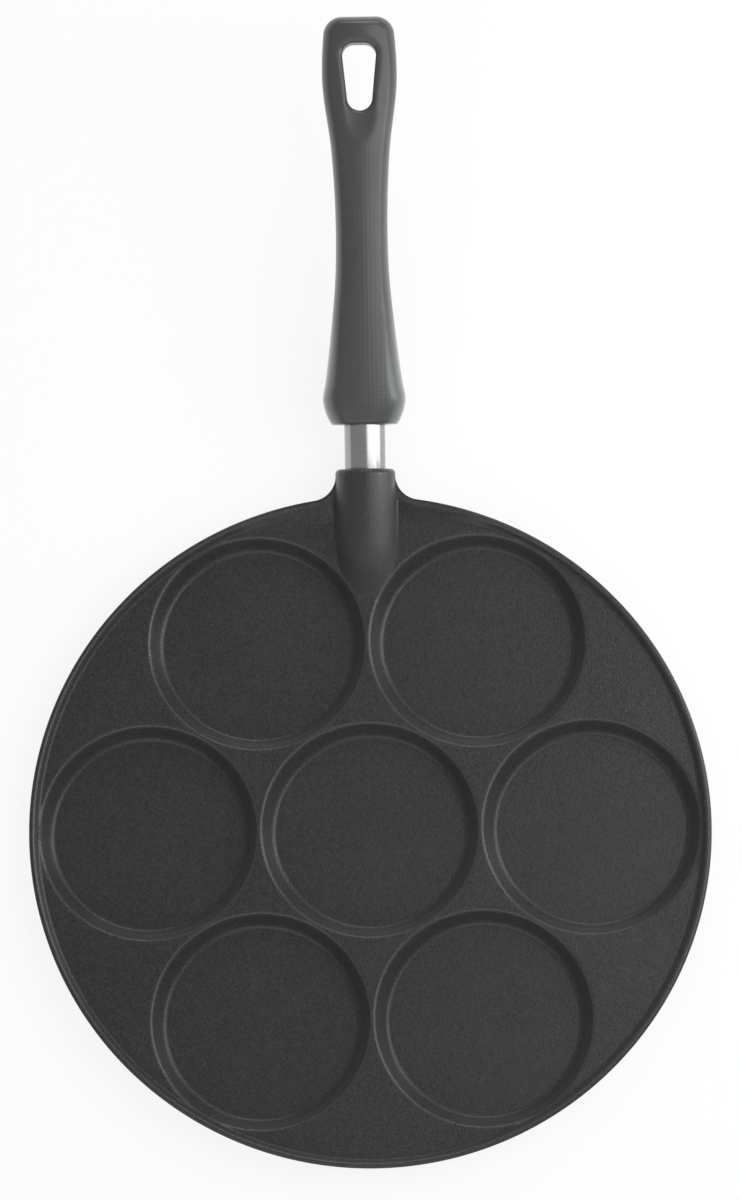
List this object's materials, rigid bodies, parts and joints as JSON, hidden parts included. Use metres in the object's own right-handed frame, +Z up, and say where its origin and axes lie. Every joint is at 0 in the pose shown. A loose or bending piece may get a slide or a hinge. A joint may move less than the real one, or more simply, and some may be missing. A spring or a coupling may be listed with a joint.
{
  "type": "plett pan",
  "caption": "Round cast griddle with shallow pancake wells, a low lip, a steel ferrule and a rising black grip with a hang hole.",
  "frame": {"origin": "centre of the flat base that the pan stands on", "axes": "+Z up out of the wells, +Y along the handle, +X to the right when the handle points away"},
  "size_m": [0.2672, 0.454, 0.0585],
  "materials": {
    "nonstick_casting": "cast aluminium under a matt charcoal non-stick coat",
    "polished_steel": "polished stainless tube",
    "black_phenolic": "satin black phenolic with a fine hatched top panel",
    "plated_steel": "bright zinc plate",
    "spring_steel": "darkened spring steel"
  },
  "bodies": {
    "root": {"pan_casting": "nonstick_casting", "ferrule": "polished_steel", "handle_grip": "black_phenolic", "handle_screw": "plated_steel", "spring_washer": "spring_steel", "flat_washer": "plated_steel"}
  },
  "joints": []
}
